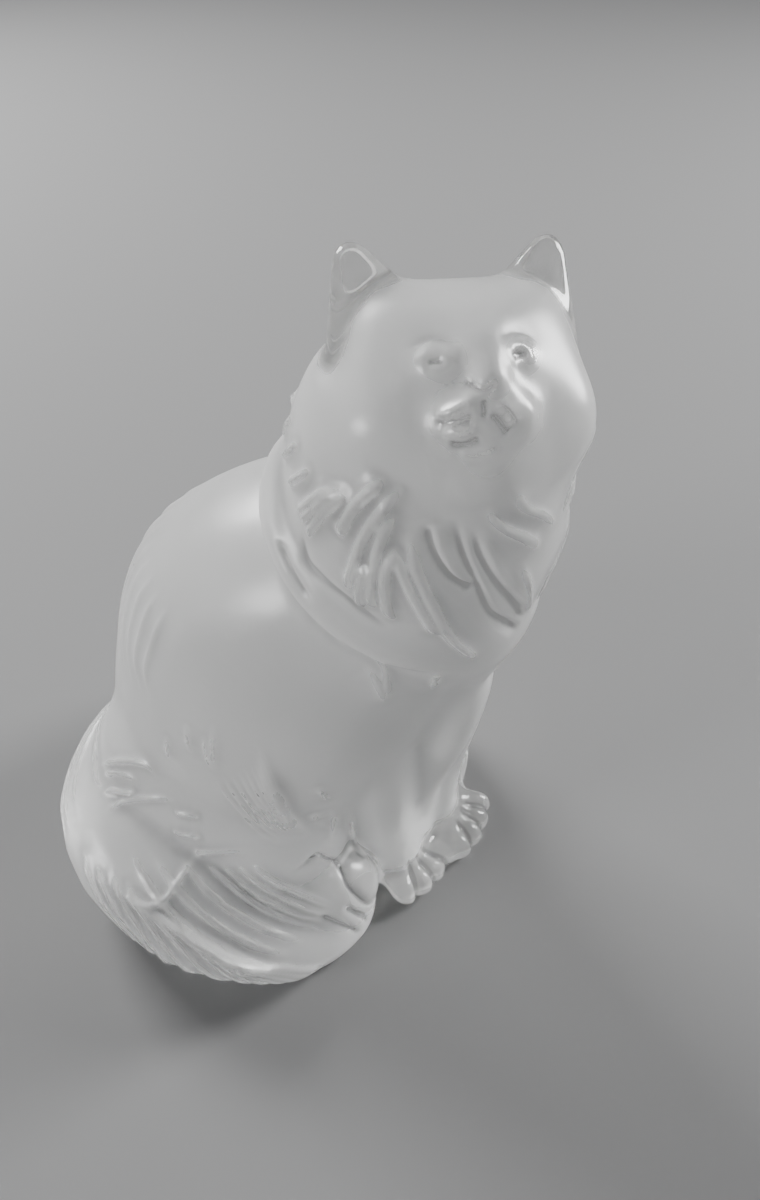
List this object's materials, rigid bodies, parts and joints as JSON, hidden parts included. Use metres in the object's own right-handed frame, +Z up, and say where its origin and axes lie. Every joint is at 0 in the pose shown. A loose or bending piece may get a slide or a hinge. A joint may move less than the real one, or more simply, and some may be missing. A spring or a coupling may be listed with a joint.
{
  "type": "seated cat figurine",
  "caption": "Seated long-haired cat figurine in satin-finished crystal glass, head turned and raised, tail swept round its side, on a flat ground foot.",
  "frame": {"origin": "on the resting face, under the middle of the body", "axes": "+Z up; the cat's chest faces -Y; its right side, with the tail, is -X"},
  "size_m": [0.0545, 0.0593, 0.0879],
  "materials": {
    "satin_crystal": "satin, acid-frosted",
    "clear_crystal": "lightly frosted, nearly clear",
    "polished_crystal": "polished",
    "ground_glass": "flat ground, matt"
  },
  "bodies": {
    "root": {"ground_base": "ground_glass", "left_eye": "polished_crystal", "right_eye": "polished_crystal", "nose": "satin_crystal", "muzzle": "satin_crystal", "left_ear": "clear_crystal", "right_ear": "clear_crystal", "head": "satin_crystal", "right_collar_lock": "satin_crystal", "left_collar_lock": "satin_crystal", "chest_ruff": "satin_crystal", "right_forepaw": "clear_crystal", "left_forepaw": "clear_crystal", "right_hind_paw": "clear_crystal", "left_hind_paw": "clear_crystal", "tail": "satin_crystal", "right_foreleg": "satin_crystal", "left_foreleg": "satin_crystal", "right_haunch": "satin_crystal", "left_haunch": "satin_crystal", "torso": "satin_crystal"}
  },
  "joints": []
}
